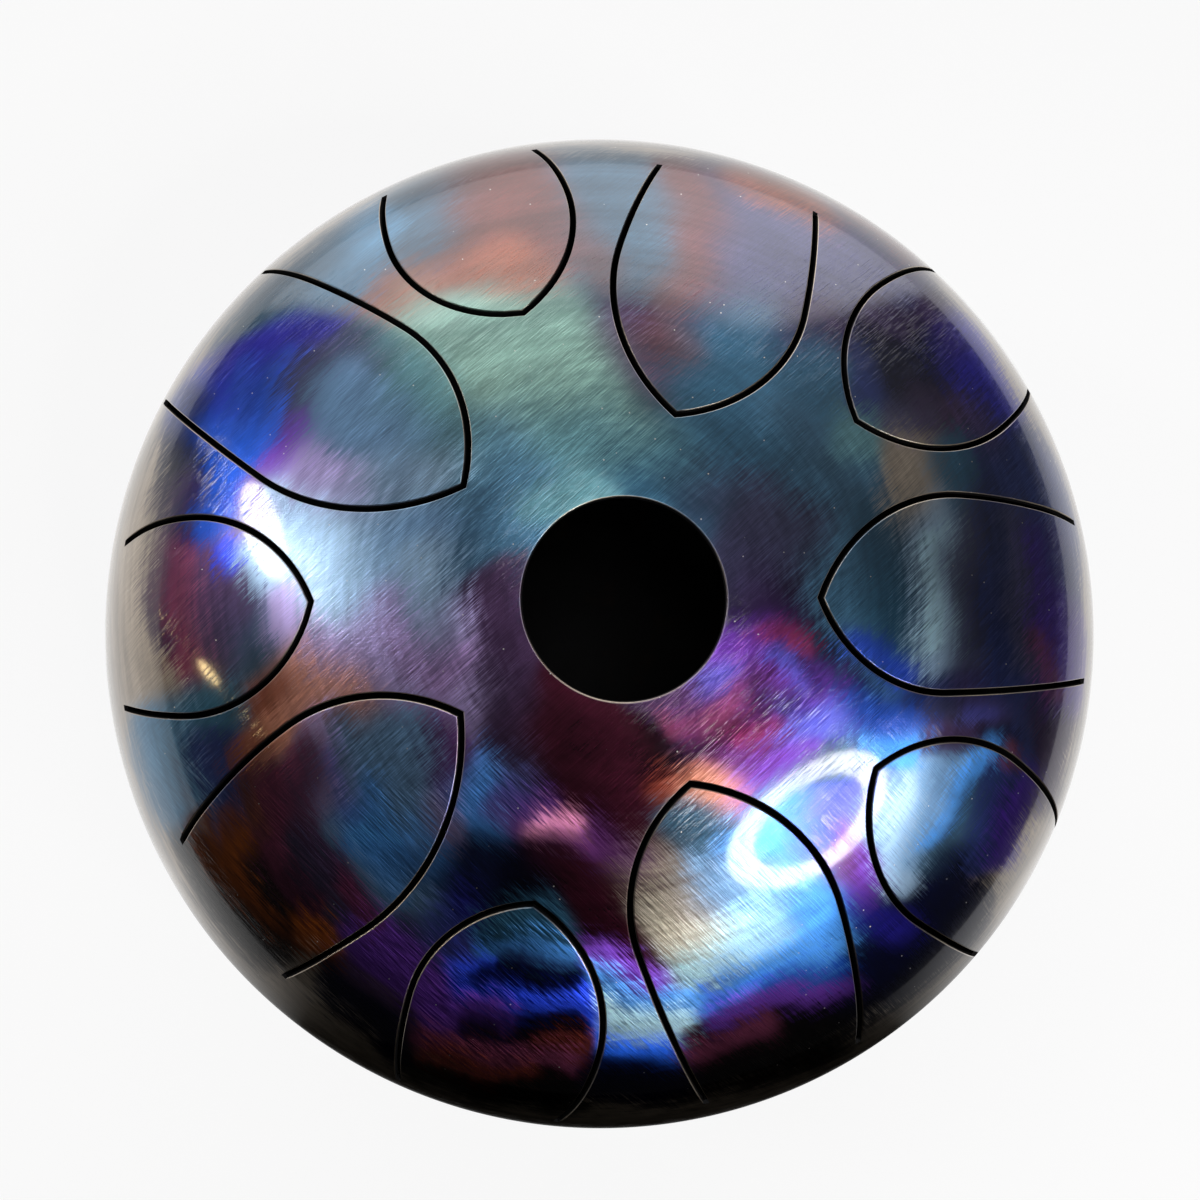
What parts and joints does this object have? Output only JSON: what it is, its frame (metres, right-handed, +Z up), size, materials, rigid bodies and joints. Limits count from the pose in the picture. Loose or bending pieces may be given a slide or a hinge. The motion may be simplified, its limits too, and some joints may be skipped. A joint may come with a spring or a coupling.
{
  "type": "steel tongue drum",
  "caption": "Steel tongue drum: two dished steel halves welded at the rim, with pointed tongues cut round a central sound hole, standing on rubber feet.",
  "frame": {"origin": "on the floor, under the middle of the drum", "axes": "+Z up the drum's axis, +X to the right and +Y to the top of the picture"},
  "size_m": [0.3012, 0.3012, 0.1527],
  "materials": {
    "temper_coloured_steel": "heat-coloured, brushed and lacquered",
    "blued_steel": "dark heat-blued and lacquered",
    "weld_steel": "rippled weld, dressed",
    "foot_rubber": "matt moulded",
    "zinc_plated_steel": "bright zinc"
  },
  "bodies": {
    "shell": {"upper_shell": "temper_coloured_steel", "lower_shell": "blued_steel", "weld_bead": "weld_steel", "rubber_foot_1": "foot_rubber", "rubber_foot_2": "foot_rubber", "rubber_foot_3": "foot_rubber", "foot_insert_washers": "zinc_plated_steel", "foot_screws": "zinc_plated_steel", "foot_washers": "zinc_plated_steel", "foot_nuts": "zinc_plated_steel"},
    "long_tongue_1": {"long_tongue_1": "temper_coloured_steel"},
    "long_tongue_2": {"long_tongue_2": "temper_coloured_steel"},
    "long_tongue_3": {"long_tongue_3": "temper_coloured_steel"},
    "long_tongue_4": {"long_tongue_4": "temper_coloured_steel"},
    "long_tongue_5": {"long_tongue_5": "temper_coloured_steel"},
    "short_tongue_1": {"short_tongue_1": "temper_coloured_steel"},
    "short_tongue_2": {"short_tongue_2": "temper_coloured_steel"},
    "short_tongue_3": {"short_tongue_3": "temper_coloured_steel"},
    "short_tongue_4": {"short_tongue_4": "temper_coloured_steel"},
    "short_tongue_5": {"short_tongue_5": "temper_coloured_steel"}
  },
  "joints": [
    {"name": "long_tongue_1_flex", "type": "hinge", "parent": "shell", "child": "long_tongue_1", "pos_m": [0.13479, 0.00193, 0.11668], "axis": [-0.0087, 1, 0], "range_deg": [-0.4, 0.4], "stiffness_Nm_per_rad": 15, "springref_deg": 0.09},
    {"name": "long_tongue_2_flex", "type": "hinge", "parent": "shell", "child": "long_tongue_2", "pos_m": [0.03573, 0.12133, 0.12362], "axis": [-0.9613, 0.2756, 0], "range_deg": [-0.4, 0.4], "stiffness_Nm_per_rad": 15, "springref_deg": 0.07},
    {"name": "long_tongue_3_flex", "type": "hinge", "parent": "shell", "child": "long_tongue_3", "pos_m": [-0.1162, 0.08024, 0.10817], "axis": [-0.5807, -0.8141, 0], "range_deg": [-0.4, 0.4], "stiffness_Nm_per_rad": 15, "springref_deg": 0.1},
    {"name": "long_tongue_4_flex", "type": "hinge", "parent": "shell", "child": "long_tongue_4", "pos_m": [-0.10313, -0.08048, 0.12025], "axis": [0.5736, -0.8192, 0], "range_deg": [-0.4, 0.4], "stiffness_Nm_per_rad": 15, "springref_deg": 0.07},
    {"name": "long_tongue_5_flex", "type": "hinge", "parent": "shell", "child": "long_tongue_5", "pos_m": [0.04527, -0.12748, 0.11625], "axis": [0.9426, 0.3338, 0], "range_deg": [-0.4, 0.4], "stiffness_Nm_per_rad": 15, "springref_deg": 0.09},
    {"name": "short_tongue_1_flex", "type": "hinge", "parent": "shell", "child": "short_tongue_1", "pos_m": [0.11204, 0.08488, 0.10939], "axis": [-0.6088, 0.7934, 0], "range_deg": [-0.4, 0.4], "stiffness_Nm_per_rad": 6, "springref_deg": 0.11},
    {"name": "short_tongue_2_flex", "type": "hinge", "parent": "shell", "child": "short_tongue_2", "pos_m": [-0.04466, 0.12788, 0.11596], "axis": [-0.9483, -0.3173, 0], "range_deg": [-0.4, 0.4], "stiffness_Nm_per_rad": 6, "springref_deg": 0.09},
    {"name": "short_tongue_3_flex", "type": "hinge", "parent": "shell", "child": "short_tongue_3", "pos_m": [-0.1356, -0.00433, 0.11563], "axis": [0, -1, 0], "range_deg": [-0.4, 0.4], "stiffness_Nm_per_rad": 6, "springref_deg": 0.09},
    {"name": "short_tongue_4_flex", "type": "hinge", "parent": "shell", "child": "short_tongue_4", "pos_m": [-0.03864, -0.13515, 0.10941], "axis": [0.9588, -0.284, 0], "range_deg": [-0.4, 0.4], "stiffness_Nm_per_rad": 6, "springref_deg": 0.11},
    {"name": "short_tongue_5_flex", "type": "hinge", "parent": "shell", "child": "short_tongue_5", "pos_m": [0.11807, -0.08179, 0.1038], "axis": [0.5519, 0.8339, 0], "range_deg": [-0.4, 0.4], "stiffness_Nm_per_rad": 6, "springref_deg": 0.13}
  ]
}
